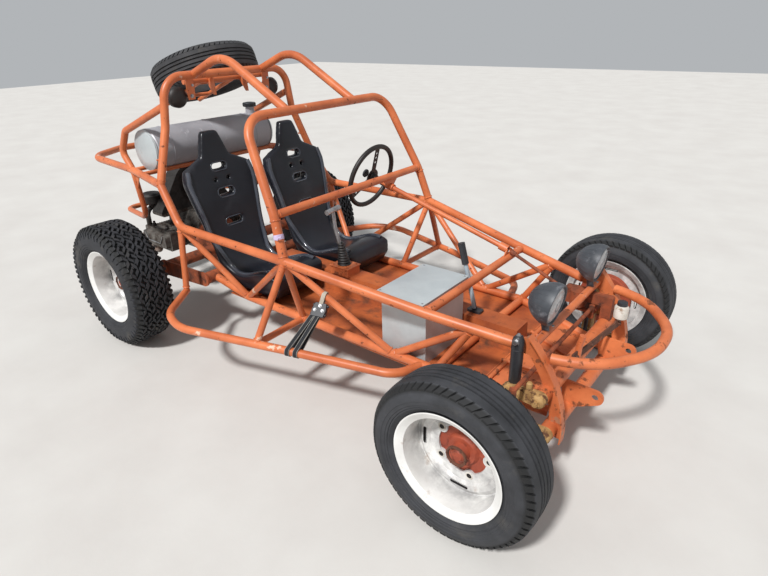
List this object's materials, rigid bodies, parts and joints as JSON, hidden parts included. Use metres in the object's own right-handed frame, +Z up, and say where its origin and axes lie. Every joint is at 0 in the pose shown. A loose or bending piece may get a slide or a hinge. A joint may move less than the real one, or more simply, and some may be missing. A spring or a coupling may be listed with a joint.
{
  "type": "dune buggy",
  "caption": "Open tube frame off-road buggy with two bucket seats, roll hoops, rear engine, fuel tank, spare tyre and steel wheels on treaded tyres.",
  "frame": {"origin": "on the ground under the middle of the vehicle's outline box", "axes": "+X forward to the bumper loop, +Y to the vehicle's left where the steering wheel is, +Z up"},
  "size_m": [3.563, 1.7414, 1.5549],
  "materials": {
    "black_metal": "satin",
    "drum_orange": "rough",
    "frame_orange": "gloss",
    "grey_metal": "brushed",
    "grip_black": "matte",
    "rusty_steel": "rough",
    "seat_black": "satin",
    "tyre": "matte",
    "wheel_white": "satin"
  },
  "bodies": {
    "frame": {"bumper_loop": "frame_orange", "controls": "black_metal", "cross_tubes": "frame_orange", "engine": "grey_metal", "floor_pan": "frame_orange", "front_beam": "frame_orange", "front_hoop": "frame_orange", "front_shocks": "black_metal", "fuel_tank": "grey_metal", "headlamps": "black_metal", "lower_rails": "frame_orange", "metal_box": "grey_metal", "rear_axle": "rusty_steel", "rear_frame": "frame_orange", "rear_hoop": "frame_orange", "rear_stays": "frame_orange", "roof_bars": "frame_orange", "seats": "seat_black", "side_bars": "frame_orange", "side_struts": "frame_orange", "silencer": "grey_metal", "spare_rack": "frame_orange", "spare_tyre": "tyre", "steering_box": "rusty_steel", "trailing_arms": "rusty_steel", "upper_rails": "frame_orange"},
    "steering_wheel_body": {"steering_wheel": "grip_black"},
    "steering_shaft_body": {"steering_shaft": "rusty_steel"},
    "pitman_body": {"pitman_arm": "rusty_steel"},
    "tie_rod_left_body": {"tie_rod_left": "rusty_steel"},
    "tie_rod_right_body": {"tie_rod_right": "rusty_steel"},
    "knuckle_left_body": {"knuckle_left": "rusty_steel"},
    "knuckle_right_body": {"knuckle_right": "rusty_steel"},
    "wheel_front_left": {"tyre_front_left": "tyre", "rim_front_left": "wheel_white", "drum_front_left": "drum_orange"},
    "wheel_front_right": {"tyre_front_right": "tyre", "rim_front_right": "wheel_white", "drum_front_right": "drum_orange"},
    "wheel_rear_left": {"tyre_rear_left": "tyre", "rim_rear_left": "wheel_white", "drum_rear_left": "drum_orange"},
    "wheel_rear_right": {"tyre_rear_right": "tyre", "rim_rear_right": "wheel_white", "drum_rear_right": "drum_orange"}
  },
  "joints": [
    {"name": "steer_left", "type": "hinge", "parent": "frame", "child": "knuckle_left_body", "pos_m": [1.347, 0.52, 0.312], "axis": [0, 0, 1], "range_deg": [-28, 28]},
    {"name": "steer_right", "type": "hinge", "parent": "frame", "child": "knuckle_right_body", "pos_m": [1.347, -0.52, 0.312], "axis": [0, 0, 1], "range_deg": [-28, 28]},
    {"name": "pitman_swing", "type": "hinge", "parent": "frame", "child": "pitman_body", "pos_m": [1.347, 0.255, 0.44], "axis": [0, 0, 1], "range_deg": [-28, 28]},
    {"name": "tie_rod_left_swing", "type": "hinge", "parent": "pitman_body", "child": "tie_rod_left_body", "pos_m": [1.415, 0.255, 0.4227], "axis": [0, 0, 1], "range_deg": [-28, 28]},
    {"name": "tie_rod_right_swing", "type": "hinge", "parent": "pitman_body", "child": "tie_rod_right_body", "pos_m": [1.415, 0.255, 0.4573], "axis": [0, 0, 1], "range_deg": [-28, 28]},
    {"name": "steering_wheel_turn", "type": "hinge", "parent": "frame", "child": "steering_wheel_body", "pos_m": [0.132, 0.28, 0.869], "axis": [0.962, 0, -0.2731], "range_deg": [-392, 392]},
    {"name": "steering_shaft_turn", "type": "hinge", "parent": "frame", "child": "steering_shaft_body", "pos_m": [0.981, 0.28, 0.628], "axis": [0.9188, 0, -0.3947], "range_deg": [-392, 392]},
    {"name": "wheel_spin_front_left", "type": "hinge", "parent": "knuckle_left_body", "child": "wheel_front_left", "pos_m": [1.347, 0.733, 0.312], "axis": [0, 1, 0], "continuous": true},
    {"name": "wheel_spin_front_right", "type": "hinge", "parent": "knuckle_right_body", "child": "wheel_front_right", "pos_m": [1.347, -0.733, 0.312], "axis": [0, 1, 0], "continuous": true},
    {"name": "wheel_spin_rear_left", "type": "hinge", "parent": "frame", "child": "wheel_rear_left", "pos_m": [-0.853, 0.733, 0.346], "axis": [0, 1, 0], "continuous": true},
    {"name": "wheel_spin_rear_right", "type": "hinge", "parent": "frame", "child": "wheel_rear_right", "pos_m": [-0.853, -0.733, 0.346], "axis": [0, 1, 0], "continuous": true}
  ],
  "couplings": [
    {"joint": "steer_right", "follows": "steer_left", "ratio": 1},
    {"joint": "pitman_swing", "follows": "steer_left", "ratio": 1},
    {"joint": "tie_rod_left_swing", "follows": "steer_left", "ratio": -1},
    {"joint": "tie_rod_right_swing", "follows": "steer_left", "ratio": -1},
    {"joint": "steering_wheel_turn", "follows": "steer_left", "ratio": -14},
    {"joint": "steering_shaft_turn", "follows": "steer_left", "ratio": -14}
  ]
}
